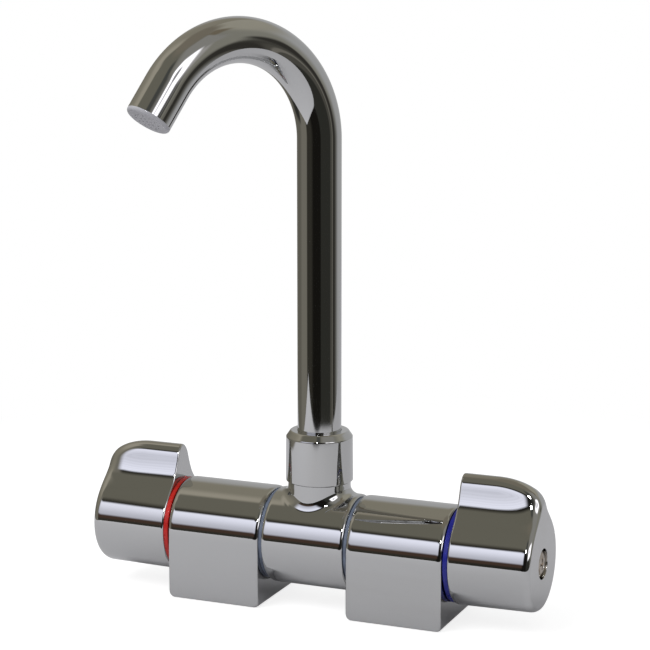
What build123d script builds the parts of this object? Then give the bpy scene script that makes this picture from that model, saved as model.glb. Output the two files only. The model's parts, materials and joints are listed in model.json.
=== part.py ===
from build123d import *
import math
import os

# A folding mixer tap for a caravan sink, in millimetres.
# The origin is the centre of the base plane, under the spout's column.
# +X runs along the barrel to the cold knob, -Y points at the user, +Z is up.
# The pieces of the cold side are drawn, and those of the hot side are their mirror images.

# Clearances
running_clearance = 0.05
face_gap = 0.05
disc_gap = 0.02
overrun = 1.0

# Barrel and feet
barrel_radius = 17.75
axis_height = 24.3
pedestal_length = 36.3
pedestal_gap = 34.6
pedestal_fillet = 1.6
tee_fillet = 1.4

# Inlets in the feet
inlet_core_radius = 7.5
inlet_depth = 11.0
inlet_passage_radius = 3.5
inlet_passage_rise = 0.8

# Fold joint
washer_thickness = 1.35
washer_recess = 0.8
trunnion_radius = 10.0
trunnion_length = 12.2
trunnion_end_gap = 0.2
waterway_radius = 6.0
riser_radius = 5.5
seal_cord_radius = 0.8
seal_groove_width = 1.9
seal_groove_depth = 1.6
trunnion_seal_inset = 1.8
trunnion_seal_spacing = 2.8
fold_angle = 90.0
fold_screw_radius = 2.0
fold_screw_offset = 3.6
fold_screw_length = 11.25
fold_screw_socket_radius = 1.15
fold_screw_socket_depth = 2.0
dog_radius = 1.2
dog_clearance = 0.1
fold_groove_depth = 1.8
dog_end_gap = 0.2

# Neck and collar nut, with heights above the barrel's axis
neck_radius = 11.5
neck_height = 22.2
neck_fillet = 2.6
neck_thread_radius = 10.35
neck_top = 33.0
neck_bore_radius = 8.45
neck_bore_floor = 16.0
nut_gap = 0.1
nut_top = 41.0
nut_foot_radius = 12.35
nut_shoulder_radius = 12.15
nut_chamfer_height = 2.3
nut_crown_radius = 10.4
nut_roof = 3.5
nut_edge_fillet = 0.3

# Spout
spout_radius = 8.0
spout_wall = 1.0
spout_bend_start = 147.0
spout_bend_radius = 36.0
spout_sweep = 144.0
spout_straight_end = 14.0
spout_heading = 28.5
tail_flange_radius = 10.0
tail_flange_height = 1.5
tail_spigot_height = 9.5
tail_bore_radius = 5.0
tail_foot_gap = 0.6
tail_seal_inset = 3.0
tail_seal_spacing = 5.0
slip_ring_gap = 0.05
insert_flange = 1.2
insert_flange_fillet = 0.35
insert_spigot_length = 8.0
insert_fit = 0.05
insert_wall = 1.0
insert_plate = 2.2
insert_hole_radius = 0.45
insert_hole_pitch = 2.2
insert_hole_rings = 2

# Valve headwork, along the barrel from the seat outwards
seat_wall = 2.3
seat_hole_radius = 5.0
chamber_radius = 11.5
seat_seal_thickness = 2.4
seat_seal_wall = 1.2
valve_foot_gap = 0.4
valve_bore_radius = 7.7
valve_wall = 1.9
disc_fit = 0.1
fixed_disc_thickness = 2.5
turning_disc_thickness = 2.4
port_inner_radius = 2.0
port_outer_radius = 6.1
port_half_angle = 38.0
window_offset = 0.5
window_length = 2.2
window_width = 8.0
drive_tongue_width = 2.0
drive_tongue_depth = 1.0
drive_slot_spare = 0.1
drive_bar_width = 5.0
drive_bar_length = 2.9
drive_shoulder_radius = 6.0
drive_shoulder_length = 2.0
valve_thread_offset = 1.5
valve_thread_length = 4.2
valve_seal_cord_radius = 0.62
valve_neck_radius = 10.2
valve_neck_length = 1.4
valve_flange_radius = 12.4
valve_flange_length = 1.6
counterbore_radius = 12.6
hex_across_flats = 17.0
hex_length = 3.8
nose_radius = 6.5
nose_length = 2.0

# Spindle and its spline
spindle_radius = 4.0
spindle_seal_cord_radius = 0.5
spindle_seal_groove_depth = 1.0
spindle_seal_groove_width = 1.3
spindle_seal_offset = 6.0
snap_ring_thickness = 0.8
snap_ring_radius = 5.5
snap_groove_radius = 3.4
snap_ring_mouth = 2.5
spline_offset = 0.7
spline_length = 10.4
spline_root_radius = 3.5
spline_tooth_width = 1.0
spline_teeth = 12
spline_fit = 0.05

# Knobs and colour rings
knob_gap = 0.35
ring_thickness = 1.75
ring_recess = 0.5
ring_spigot_length = 2.5
ring_spigot_wall = 1.15
ring_spigot_fit = 0.05
knob_length = 30.0
knob_radius = 17.75
knob_end_radius = 17.3
knob_crest_height = 30.2
knob_corner_start = 13.0
knob_corner_reach = 17.6
knob_corner_drop = 9.4
knob_inner_round = 0.8
knob_end_round = 2.4
knob_wall = 4.5
knob_pocket_depth = 18.0
hub_radius = 7.2
hub_offset = 0.6
hub_end_gap = 0.2
screw_recess_radius = 5.5
screw_recess_depth = 2.8
screw_radius = 2.0
screw_clearance = 0.15
screw_head_radius = 4.8
screw_head_height = 2.5
screw_head_fillet = 1.7
screw_engagement = 7.5
screw_cross_length = 4.6
screw_cross_width = 0.9
screw_cross_depth = 1.3

# The knob's flank above its axis: shares of its radius, of its crest's height and of its crest's fall
flank_shares = [
    (0.97, 0.20, 0.0),
    (0.88, 0.333, 0.0),
    (0.76, 0.444, 0.0),
    (0.50, 0.60, 0.0),
    (0.385, 0.69, 0.14),
    (0.30, 0.82, 0.53),
    (0.16, 0.955, 0.86),
]

# Stations of the knob's loft, as shares of its length, and of its rounded ends, as shares of their radius
knob_station_shares = (0.2, 0.4, 0.55, 0.68, 0.8)
knob_rounding_shares = (0.0, 0.1, 0.4, 1.0)

# Places along the barrel, on the cold side
inner_face = pedestal_gap / 2
outer_face = inner_face + pedestal_length
foot_centre = inner_face + pedestal_length / 2
tee_half = inner_face - washer_thickness - face_gap
trunnion_end = inner_face + trunnion_length
seat_face = trunnion_end + trunnion_end_gap + seat_wall
trunnion_seals = [
    trunnion_end - trunnion_seal_inset - trunnion_seal_spacing,
    trunnion_end - trunnion_seal_inset,
]
fold_screw_place = inner_face + fold_screw_offset
disc_face = seat_face + seat_seal_thickness
disc_meeting = disc_face + fixed_disc_thickness + disc_gap
drive_face = disc_meeting + turning_disc_thickness
drive_shoulder = drive_face + drive_bar_length
drive_end = drive_shoulder + drive_shoulder_length
valve_roof = drive_end + face_gap
thread_start = valve_roof + valve_thread_offset
thread_end = thread_start + valve_thread_length
flange_seat = thread_end + valve_neck_length
flange_end = flange_seat + valve_flange_length
hex_end = flange_end + hex_length
nose_end = hex_end + nose_length
snap_ring_start = nose_end + face_gap
spline_start = snap_ring_start + snap_ring_thickness + spline_offset
spline_end = spline_start + spline_length
ring_start = outer_face + knob_gap
knob_start = ring_start + ring_thickness
knob_end = knob_start + knob_length
knob_pocket_end = knob_start + knob_pocket_depth
knob_pocket_radius = knob_radius - knob_wall
hub_start = spline_start + hub_offset
screw_seat = knob_end - screw_recess_depth
spindle_seal_place = drive_end + spindle_seal_offset

# Heights above the base plane
tail_flange_foot = axis_height + neck_top + face_gap
tube_foot = tail_flange_foot + tail_flange_height
nut_foot = axis_height + neck_height + nut_gap
nut_ceiling = axis_height + nut_top - nut_roof
spout_inner_radius = spout_radius - spout_wall
tail_radius = neck_bore_radius - running_clearance
tail_foot = axis_height + neck_bore_floor + tail_foot_gap
tail_seals = [tail_foot + tail_seal_inset, tail_foot + tail_seal_inset + tail_seal_spacing]

up = Axis((0, 0, 0), (0, 0, 1))
bottom = (Align.CENTER, Align.CENTER, Align.MIN)


def section(place):
    """The plane across the barrel at a place along it, with local x to the back and local y up."""
    return Plane(origin=(place, 0, axis_height), x_dir=(0, 1, 0), z_dir=(1, 0, 0))


def along_barrel(outline, start, end):
    """An outline drawn out along the barrel."""
    return extrude(section(start) * outline, amount=end - start)


def rod(radius, start, end):
    """A round bar on the barrel's axis."""
    return along_barrel(Circle(radius), start, end)


def sleeve(outer, inner, start, end):
    """A round tube on the barrel's axis."""
    return along_barrel(Circle(outer) - Circle(inner), start, end)


def post(radius, foot, top):
    """A round bar on the column's axis."""
    return Pos(0, 0, foot) * Cylinder(radius, top - foot, align=bottom)


def bush(outer, inner, foot, top):
    """A round tube on the column's axis."""
    return post(outer, foot, top) - post(inner, foot, top)


def barrel_groove(radius, depth, width, place):
    """The space that a turned groove takes out of a bar on the barrel's axis."""
    return sleeve(radius + overrun, radius - depth, place - width / 2, place + width / 2)


def other_side(shape):
    """The hot side's mirror image of a cold piece."""
    return mirror(shape, about=Plane.YZ)


def pedestal():
    """A barrel that runs down into a rectangular foot, bored for the trunnion, valve and inlet."""
    foot = Rectangle(2 * barrel_radius, axis_height, align=(Align.CENTER, Align.MAX))
    body = along_barrel(Circle(barrel_radius) + foot, inner_face, outer_face)
    rims = body.faces().sort_by(Axis.X)[0].edges() + body.faces().sort_by(Axis.X)[-1].edges()
    rims = [rim for rim in rims if rim.center().Z > pedestal_fillet]
    sole = body.faces().sort_by(Axis.Z)[0].edges().filter_by(Axis.X)
    body = fillet(rims + list(sole), pedestal_fillet)
    body -= rod(trunnion_radius + running_clearance, inner_face - overrun, trunnion_end + trunnion_end_gap)
    body -= rod(seat_hole_radius, trunnion_end, seat_face + overrun)
    body -= rod(chamber_radius, seat_face, outer_face)
    body -= rod(counterbore_radius, flange_seat, outer_face + overrun)
    body -= Pos(foot_centre, 0, 0) * post(inlet_core_radius, -overrun, inlet_depth)
    passage_top = axis_height - chamber_radius + inlet_passage_rise
    body -= Pos(foot_centre, 0, 0) * post(inlet_passage_radius, 0, passage_top)
    body -= Pos(fold_screw_place, 0, 0) * post(fold_screw_radius, -overrun, axis_height - waterway_radius)
    return body


def seam_washer():
    """The thrust washer between a pedestal and the centre barrel."""
    bore = trunnion_radius + running_clearance
    return sleeve(barrel_radius - washer_recess, bore, inner_face - washer_thickness, inner_face)


def fold_screw():
    """A grub screw whose dog runs in the trunnion's groove."""
    shoulder = axis_height - trunnion_radius - running_clearance
    tip = axis_height - trunnion_radius + fold_groove_depth - dog_end_gap
    foot = shoulder - fold_screw_length
    screw = post(fold_screw_radius, foot, shoulder) + post(dog_radius, shoulder, tip)
    socket = RegularPolygon(fold_screw_socket_radius, side_count=6)
    screw -= extrude(Pos(0, 0, foot) * socket, amount=fold_screw_socket_depth)
    return Pos(fold_screw_place, 0, 0) * screw


def fold_groove():
    """The part-turn groove in a trunnion, with room for the dog from upright to folded."""
    floor = trunnion_radius - fold_groove_depth
    half_width = dog_radius + dog_clearance
    spare = math.degrees(math.asin(half_width / floor))
    ring = sleeve(trunnion_radius + overrun, floor, fold_screw_place - half_width, fold_screw_place + half_width)
    reach = 2 * (trunnion_radius + overrun)
    start = -90.0 - fold_angle - spare
    turn = fold_angle + 2 * spare
    edge_a = (reach * math.cos(math.radians(start)), reach * math.sin(math.radians(start)))
    edge_b = (
        reach * math.cos(math.radians(start + turn / 2)),
        reach * math.sin(math.radians(start + turn / 2)),
    )
    edge_c = (reach * math.cos(math.radians(start + turn)), reach * math.sin(math.radians(start + turn)))
    wedge = make_face(Polyline((0, 0), edge_a, edge_b, edge_c, close=True))
    return ring & along_barrel(wedge, fold_screw_place - half_width, fold_screw_place + half_width)


def centre_tee():
    """The middle barrel with its neck, hollow trunnions and waterways."""
    body = rod(barrel_radius, -tee_half, tee_half) + post(neck_radius, axis_height, axis_height + neck_height)
    seam = [edge for edge in body.edges() if edge.geom_type not in (GeomType.CIRCLE, GeomType.LINE)]
    body = fillet(seam, neck_fillet)
    rims = body.edges().filter_by(GeomType.CIRCLE)
    body = fillet([rims.sort_by(Axis.X)[0], rims.sort_by(Axis.X)[-1]], tee_fillet)
    body += post(neck_thread_radius, axis_height, axis_height + neck_top)
    body += rod(trunnion_radius, -trunnion_end, trunnion_end)
    body -= rod(waterway_radius, -trunnion_end - overrun, trunnion_end + overrun)
    body -= post(riser_radius, axis_height, axis_height + neck_top)
    body -= post(neck_bore_radius, axis_height + neck_bore_floor, axis_height + neck_top + overrun)
    cuts = [fold_groove()]
    cuts += [barrel_groove(trunnion_radius, seal_groove_depth, seal_groove_width, x) for x in trunnion_seals]
    for cut in cuts:
        body -= cut
        body -= other_side(cut)
    return body


def barrel_o_ring(cord, centre_radius, place):
    """A sealing ring round the barrel's axis."""
    return section(place) * Torus(centre_radius, cord)


def spout_nut():
    """The collar nut: a slightly flared sleeve with a chamfered crown."""
    foot = nut_foot
    top = axis_height + nut_top
    shoulder = top - nut_chamfer_height
    outline = Polyline(
        (0, foot),
        (nut_foot_radius, foot),
        (nut_shoulder_radius, shoulder),
        (nut_crown_radius, top),
        (0, top),
        close=True,
    )
    nut = revolve(Plane.XZ * make_face(outline), axis=up)
    rims = nut.edges().filter_by(GeomType.CIRCLE)
    nut = fillet(rims, nut_edge_fillet)
    nut -= post(neck_thread_radius, foot - overrun, nut_ceiling)
    nut -= post(spout_radius + running_clearance, foot, top + overrun)
    return nut


def spout_point(angle, radius):
    """A point round the hook's centre, in the hook's own plane: reach and height."""
    turn = math.radians(angle)
    reach = spout_bend_radius - radius * math.cos(turn)
    height = spout_bend_start + radius * math.sin(turn)
    return reach, height


heading = math.radians(spout_heading)
hook_plane = Plane(
    origin=(0, 0, axis_height),
    x_dir=(-math.sin(heading), -math.cos(heading), 0),
    z_dir=(-math.cos(heading), math.sin(heading), 0),
)
bend_end = spout_point(spout_sweep, spout_bend_radius)
outlet_aim = (math.sin(math.radians(spout_sweep)), math.cos(math.radians(spout_sweep)))


def outlet_plane(back):
    """The plane across the outlet, set back from the tap's very end."""
    run = spout_straight_end - back
    centre = (bend_end[0] + run * outlet_aim[0], bend_end[1] + run * outlet_aim[1])
    aim = hook_plane.from_local_coords(Vector(*outlet_aim)) - hook_plane.origin
    return Plane(origin=hook_plane.from_local_coords(Vector(*centre)), z_dir=aim)


def spout_tube():
    """A straight column, a hook and a short straight end, swept as one tube."""
    column = Line((0, tube_foot - axis_height), (0, spout_bend_start))
    hook = CenterArc((spout_bend_radius, spout_bend_start), spout_bend_radius, 180, -spout_sweep)
    run = spout_straight_end - insert_flange
    nose = Line(hook @ 1, (hook @ 1) + run * (hook % 1))
    path = hook_plane * (column + hook + nose)
    ring = Pos(0, 0, tube_foot) * (Circle(spout_radius) - Circle(spout_inner_radius))
    return sweep(ring, path=path)


def outlet_insert():
    """A plastic flow straightener: a flange on the tube's end and a drilled cup inside it."""
    outer = spout_inner_radius - insert_fit
    cup = Cylinder(outer, insert_spigot_length + insert_flange, align=(Align.CENTER, Align.CENTER, Align.MAX))
    flange = Cylinder(spout_radius, insert_flange, align=(Align.CENTER, Align.CENTER, Align.MAX))
    flange = fillet(flange.edges().sort_by(Axis.Z)[-1:], insert_flange_fillet)
    hollow = Pos(0, 0, -insert_plate) * Cylinder(
        outer - insert_wall, insert_spigot_length + overrun, align=(Align.CENTER, Align.CENTER, Align.MAX)
    )
    body = flange + cup - hollow
    hole = Cylinder(insert_hole_radius, 2 * (insert_plate + overrun))
    holes = [hole]
    for ring in range(1, insert_hole_rings + 1):
        holes += [place * hole for place in PolarLocations(ring * insert_hole_pitch, 6 * ring)]
    body -= holes
    return outlet_plane(0) * body


def spout_tail():
    """The turned ferrule: a spigot in the tube, a flange on the neck and a sealed stem in its bore."""
    body = post(tail_radius, tail_foot, tail_flange_foot)
    body += post(tail_flange_radius, tail_flange_foot, tube_foot)
    body += post(spout_inner_radius, tube_foot, tube_foot + tail_spigot_height)
    body -= post(tail_bore_radius, tail_foot - overrun, tube_foot + tail_spigot_height + overrun)
    for place in tail_seals:
        body -= bush(
            tail_radius + overrun,
            tail_radius - seal_groove_depth,
            place - seal_groove_width / 2,
            place + seal_groove_width / 2,
        )
    return body


def spout_o_ring(place):
    """A sealing ring in the ferrule's groove, just clear of the neck's bore."""
    centre_radius = neck_bore_radius - disc_gap - seal_cord_radius
    return Pos(0, 0, place) * Torus(centre_radius, seal_cord_radius)


def spout_slip_ring():
    """The plastic bearing ring between the ferrule's flange and the nut's roof."""
    return bush(tail_flange_radius, spout_radius + disc_gap, tube_foot, nut_ceiling - slip_ring_gap)


def seat_seal():
    """The rubber ring that the headwork presses on its seat."""
    outer = valve_bore_radius - disc_fit
    return sleeve(outer, outer - seat_seal_wall, seat_face, disc_face)


def ports(turn):
    """Two opposite sector openings, turned about the axis."""
    reach = 2 * port_outer_radius
    rise = reach * math.tan(math.radians(port_half_angle))
    wedge = make_face(Polyline((0, 0), (reach, -rise), (reach, rise), close=True))
    both = wedge + Rot(0, 0, 180) * wedge
    return Rot(0, 0, turn) * ((Circle(port_outer_radius) - Circle(port_inner_radius)) & both)


def fixed_disc():
    """The ceramic disc that stays with the headwork."""
    outline = Circle(valve_bore_radius - disc_fit) - ports(0)
    return along_barrel(outline, disc_face, disc_face + fixed_disc_thickness)


def turning_disc():
    """The ceramic disc that the spindle turns, shut at rest."""
    disc = along_barrel(Circle(valve_bore_radius - disc_fit) - ports(90), disc_meeting, drive_face)
    slot_width = drive_tongue_width + drive_slot_spare
    slot = Rectangle(2 * valve_bore_radius, slot_width)
    return disc - along_barrel(slot, drive_face - drive_tongue_depth - drive_slot_spare, drive_face + overrun)


def valve_body():
    """The brass headwork: a windowed cage, a threaded ring, a flange, a hexagon and a nose."""
    cage_radius = valve_bore_radius + valve_wall
    body = rod(cage_radius, seat_face + valve_foot_gap, thread_start)
    body += rod(chamber_radius, thread_start, thread_end)
    body += rod(valve_neck_radius, thread_end, flange_seat)
    body += rod(valve_flange_radius, flange_seat, flange_end)
    body += along_barrel(RegularPolygon(hex_across_flats / 2, 6, major_radius=False), flange_end, hex_end)
    body += rod(nose_radius, hex_end, nose_end)
    body -= rod(valve_bore_radius, seat_face, valve_roof)
    body -= rod(spindle_radius + running_clearance, valve_roof - overrun, nose_end + overrun)
    window_start = drive_face + window_offset
    window = Rectangle(2 * chamber_radius, window_width)
    body -= along_barrel(window, window_start, window_start + window_length)
    return body


def valve_o_ring():
    """The seal under the headwork's flange."""
    centre_radius = valve_neck_radius + valve_seal_cord_radius
    return barrel_o_ring(valve_seal_cord_radius, centre_radius, (thread_end + flange_seat) / 2)


def spline_outline(spare):
    """The splined section of the spindle, or of its socket with some spare room."""
    tooth = Rectangle(2 * (spindle_radius + spare), spline_tooth_width + 2 * spare)
    outline = Circle(spline_root_radius + spare)
    for index in range(spline_teeth // 2):
        outline += Rot(0, 0, index * 360 / spline_teeth) * tooth
    return outline


def spindle():
    """The valve spindle: drive tongue, shoulder, sealed shaft, snap-ring groove and spline."""
    tongue = Rectangle(2 * drive_shoulder_radius, drive_tongue_width) & Circle(drive_shoulder_radius)
    bar = Rectangle(2 * drive_shoulder_radius, drive_bar_width) & Circle(drive_shoulder_radius)
    body = along_barrel(tongue, drive_face - drive_tongue_depth, drive_shoulder)
    body += along_barrel(bar, drive_face + disc_gap, drive_shoulder)
    body += rod(drive_shoulder_radius, drive_shoulder, drive_end)
    body += rod(spindle_radius, drive_end, spline_start)
    body += along_barrel(spline_outline(0), spline_start, spline_end)
    body -= barrel_groove(
        spindle_radius, spindle_seal_groove_depth, spindle_seal_groove_width, spindle_seal_place
    )
    groove_place = snap_ring_start + snap_ring_thickness / 2
    body -= barrel_groove(spindle_radius, spindle_radius - snap_groove_radius, snap_ring_thickness, groove_place)
    body -= rod(screw_radius, spline_end - screw_engagement - overrun, spline_end + overrun)
    return body


def spindle_o_ring():
    """The seal in the spindle's groove, just clear of the headwork's bore."""
    centre_radius = spindle_radius + running_clearance - disc_gap - spindle_seal_cord_radius
    return barrel_o_ring(spindle_seal_cord_radius, centre_radius, spindle_seal_place)


def snap_ring():
    """The open ring that keeps the spindle in the headwork."""
    mouth = Rectangle(2 * snap_ring_radius, snap_ring_mouth, align=(Align.MIN, Align.CENTER))
    outline = Circle(snap_ring_radius) - Circle(snap_groove_radius) - mouth
    return along_barrel(outline, snap_ring_start, snap_ring_start + snap_ring_thickness)


def knob_outline(radius, crest, fall):
    """Half a circle below and a fin above, whose upper flank comes down with its crest."""
    flank = [(radius * width, crest * height - fall * follow) for width, height, follow in flank_shares]
    other_flank = [(-y, z) for y, z in reversed(flank)]
    top = crest - fall
    belly = ThreePointArc((-radius, 0), (0, -radius), (radius, 0))
    front = Spline((radius, 0), *flank, (0, top), tangents=[(0, 1), (-1, 0)])
    back = Spline((0, top), *other_flank, (-radius, 0), tangents=[(-1, 0), (0, -1)])
    return make_face([belly, front, back])


def knob_station(run, inset):
    """The knob's outline at a run along it: a slight taper, and a crest that turns down to the end."""
    share = run / knob_length
    radius = knob_radius + (knob_end_radius - knob_radius) * share
    corner = max(0, (run - knob_corner_start) / knob_corner_reach)
    fall = knob_corner_drop * (1 - math.sqrt(1 - corner**2))
    return section(knob_start + run) * knob_outline(radius - inset, knob_crest_height - inset, fall)


def rounding_inset(share, radius):
    """How far a quarter-round edge draws in, at a share of its radius from the end."""
    return radius * (1 - math.sqrt(1 - (1 - share) ** 2))


def knob():
    """The finned knob: lofted through its stations and rounded ends, then hollowed round a splined hub."""
    middle = [knob_station(knob_inner_round, 0)]
    middle += [knob_station(knob_length * share, 0) for share in knob_station_shares]
    middle += [knob_station(knob_length - knob_end_round, 0)]
    inner_end = []
    outer_end = []
    for share in knob_rounding_shares:
        inset = rounding_inset(share, knob_inner_round)
        inner_end.append(knob_station(knob_inner_round * share, inset))
        inset = rounding_inset(share, knob_end_round)
        outer_end.append(knob_station(knob_length - knob_end_round * share, inset))
    body = loft(middle) + loft(inner_end) + loft(outer_end[::-1])
    pocket = rod(knob_pocket_radius, knob_start - overrun, knob_pocket_end)
    hub = rod(hub_radius, hub_start, knob_pocket_end + overrun)
    body -= pocket - hub
    body -= along_barrel(spline_outline(spline_fit), hub_start - overrun, spline_end + hub_end_gap)
    body -= rod(screw_radius + screw_clearance, spline_end, screw_seat + overrun)
    body -= rod(screw_recess_radius, screw_seat, knob_end + overrun)
    return body


def colour_ring():
    """The marker ring, with a spigot that plugs into the knob's pocket."""
    outer = knob_pocket_radius - ring_spigot_fit
    inner = outer - ring_spigot_wall
    flange = sleeve(knob_radius - ring_recess, inner, ring_start, knob_start)
    return flange + sleeve(outer, inner, knob_start, knob_start + ring_spigot_length)


def knob_screw():
    """The domed screw that holds the knob on its spindle, with a cross recess."""
    head = rod(screw_head_radius, screw_seat, screw_seat + screw_head_height)
    head = fillet(head.edges().sort_by(Axis.X)[-1:], screw_head_fillet)
    screw = head + rod(screw_radius, spline_end - screw_engagement, screw_seat)
    cross = Rectangle(screw_cross_length, screw_cross_width) + Rectangle(screw_cross_width, screw_cross_length)
    top = screw_seat + screw_head_height
    return screw - along_barrel(cross, top - screw_cross_depth, top + overrun)


single_pieces = {
    "centre_tee": centre_tee,
    "spout_nut": spout_nut,
    "spout_tube": spout_tube,
    "spout_tail": spout_tail,
    "spout_slip_ring": spout_slip_ring,
    "outlet_insert": outlet_insert,
}
paired_pieces = {
    "pedestal": pedestal,
    "seam_washer": seam_washer,
    "fold_screw": fold_screw,
    "valve_body": valve_body,
    "valve_o_ring": valve_o_ring,
    "seat_seal": seat_seal,
    "fixed_disc": fixed_disc,
    "turning_disc": turning_disc,
    "spindle": spindle,
    "spindle_o_ring": spindle_o_ring,
    "snap_ring": snap_ring,
    "knob": knob,
    "colour_ring": colour_ring,
    "knob_screw": knob_screw,
}

os.makedirs("parts", exist_ok=True)
for name, make in single_pieces.items():
    export_step(make(), f"parts/{name}.step")
for name, make in paired_pieces.items():
    piece = make()
    export_step(piece, f"parts/cold_{name}.step")
    export_step(other_side(piece), f"parts/hot_{name}.step")
for name, place in zip(("inner_o_ring", "outer_o_ring"), trunnion_seals):
    trunnion_seal_radius = trunnion_radius + running_clearance - disc_gap - seal_cord_radius
    piece = barrel_o_ring(seal_cord_radius, trunnion_seal_radius, place)
    export_step(piece, f"parts/cold_{name}.step")
    export_step(other_side(piece), f"parts/hot_{name}.step")
for name, place in zip(("lower_spout_o_ring", "upper_spout_o_ring"), tail_seals):
    export_step(spout_o_ring(place), f"parts/{name}.step")
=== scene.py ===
# %% [markdown]
# # A folding caravan tap, dressed in Blender
# The construction model comes in first and never moves. This notebook adds finely curved surfaces
# over the pieces that are seen, gives every piece its finish, and lights the tap like the photograph.
# Chrome has hardly a colour of its own, so most of the work is in smooth shapes and in what stands
# around the tap to be mirrored.

# %% Load the frame
import json
import bmesh
import bpy
import numpy as np
from mathutils import Matrix

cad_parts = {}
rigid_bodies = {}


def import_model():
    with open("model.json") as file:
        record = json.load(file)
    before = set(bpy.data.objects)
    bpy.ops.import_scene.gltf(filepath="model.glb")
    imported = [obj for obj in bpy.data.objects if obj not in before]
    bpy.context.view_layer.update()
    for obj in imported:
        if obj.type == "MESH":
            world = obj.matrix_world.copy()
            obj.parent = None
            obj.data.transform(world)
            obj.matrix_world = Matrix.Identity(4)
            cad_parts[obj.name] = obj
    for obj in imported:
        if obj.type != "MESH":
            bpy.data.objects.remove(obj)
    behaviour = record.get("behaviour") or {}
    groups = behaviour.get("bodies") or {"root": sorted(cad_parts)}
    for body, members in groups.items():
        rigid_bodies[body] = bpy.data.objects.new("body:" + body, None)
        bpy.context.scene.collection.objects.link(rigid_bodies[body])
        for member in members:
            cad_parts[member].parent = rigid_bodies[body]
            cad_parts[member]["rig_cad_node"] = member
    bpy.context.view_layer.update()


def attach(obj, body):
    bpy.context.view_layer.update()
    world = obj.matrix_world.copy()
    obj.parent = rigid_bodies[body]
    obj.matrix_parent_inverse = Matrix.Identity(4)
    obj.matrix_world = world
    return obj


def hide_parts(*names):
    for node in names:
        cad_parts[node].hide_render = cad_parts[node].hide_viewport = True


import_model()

# %% [markdown]
# ## Sizes
# The pieces below repeat the construction model's own measures, in millimetres, so that a new surface
# lies exactly where the solid was. A place along the barrel is counted outwards from the middle, and
# the hot side is the mirror image of the cold one.

# %% Sizes in millimetres
AXIS_HEIGHT = 24.3
BARREL = 17.75
INNER_FACE = 17.3
OUTER_FACE = 53.6
FOOT_CENTRE = 35.45
CASTING_ROUND, CASTING_DROP = 2.0, 0.8
FOOT_ROUND = 1.6
TEE_HALF = 15.9
TEE_ROUND, TEE_DROP = 1.5, 0.7
TRUNNION, TRUNNION_END = 10.0, 29.5
RUNNING_GAP = 0.05
NECK, NECK_HEIGHT = 11.5, 22.2
NECK_THREAD, NECK_TOP = 10.35, 33.0
NECK_FILLET, NECK_FRONT_FILLET = 2.6, 7.0
TUBE, TUBE_BORE, TUBE_FOOT = 8.0, 7.0, 58.85
BEND_START, BEND_RADIUS, BEND_SWEEP = 171.3, 36.0, 144.0
STRAIGHT_END, FLANGE = 14.0, 1.2
HEADING = np.radians(28.5)
KNOB_START = 55.7
KNOB_LENGTH = 30.0
KNOB_END = KNOB_START + KNOB_LENGTH
POCKET = 13.25
RING = 17.25
SCREW_SEAT = 82.9
MM = 0.001
HOLD = 0.06
print("knobs reach", KNOB_END, "mm to either side")

# %% [markdown]
# ## The camera
# The camera stands where the photographer's did: its place, aim and lens were worked out from the
# picture. It is a long lens, a little to the right and looking slightly down, which keeps the two
# knobs nearly the same size.

# %% Camera
VIEW_PLACE = (0.2824, -0.6683, 0.2373)
VIEW_WAY = (-0.3803, 0.9070, -0.1807)
FOCAL_LENGTH = 112.96


def placed(name, data):
    """A new object that shows the data, linked to the scene."""
    thing = bpy.data.objects.new(name, data)
    bpy.context.scene.collection.objects.link(thing)
    return thing


def looking(place, way):
    """The pose of a thing that looks along the way: its columns are right, up, back and the place."""
    forward = np.array(way) / np.linalg.norm(way)
    right = np.cross(forward, [0.0, 0.0, 1.0])
    right /= np.linalg.norm(right)
    pose = np.eye(4)
    pose[:3] = np.stack([right, np.cross(right, forward), -forward, place], -1)
    return Matrix(pose.tolist())


lens = bpy.data.cameras.new("photo_camera")
lens.lens = FOCAL_LENGTH
lens.sensor_width = 36.0
lens.clip_start = 0.01
camera = placed("photo_camera", lens)
camera.matrix_world = looking(VIEW_PLACE, VIEW_WAY)
bpy.context.scene.camera = camera
print("camera looks along", VIEW_WAY)

# %% [markdown]
# ## From grids to meshes
# Every new surface is a grid of points, worked out as whole arrays: rows run along the shape and
# columns run round it. One helper turns grids into faces, welds their seams and poles, points the
# faces outwards and leaves an edge sharp only where the surface really turns a corner.

# %% Grid helpers
WELD, NO_LENGTH = 2e-7, 1e-8
CORNER = np.radians(32.0)


def grid_faces(rows, columns, ring, loop):
    """Quads between neighbouring points: face (i, j) takes points (i, j), (i, j+1), (i+1, j+1) and
    (i+1, j). With ring the last column meets the first, with loop the last row meets the first."""
    down, sideways = np.arange(rows if loop else rows - 1), np.arange(columns if ring else columns - 1)
    i, j = np.meshgrid(down, sideways, indexing="ij")
    here, below, beside = i * columns, (i + 1) % rows * columns, (j + 1) % columns
    return np.stack([here + j, here + beside, below + beside, below + j], -1).reshape(-1, 4)


def mesh_from(name, grids):
    """One welded, closed mesh from (points, ring, loop) grids in millimetres."""
    points, faces, count = [], [], 0
    for grid, ring, loop in grids:
        rows, columns = grid.shape[:2]
        faces.append(grid_faces(rows, columns, ring, loop) + count)
        points.append(grid.reshape(-1, 3) * MM)
        count += rows * columns
    mesh = bpy.data.meshes.new(name)
    mesh.from_pydata(np.concatenate(points), [], np.concatenate(faces))
    skin = bmesh.new()
    skin.from_mesh(mesh)
    bmesh.ops.remove_doubles(skin, verts=skin.verts, dist=WELD)
    bmesh.ops.dissolve_degenerate(skin, edges=skin.edges, dist=NO_LENGTH)
    bmesh.ops.recalc_face_normals(skin, faces=skin.faces)
    skin.to_mesh(mesh)
    skin.free()
    return mesh


def new_piece(name, grids):
    """An object made of grids, in place."""
    return placed(name, mesh_from(name, grids))


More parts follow.
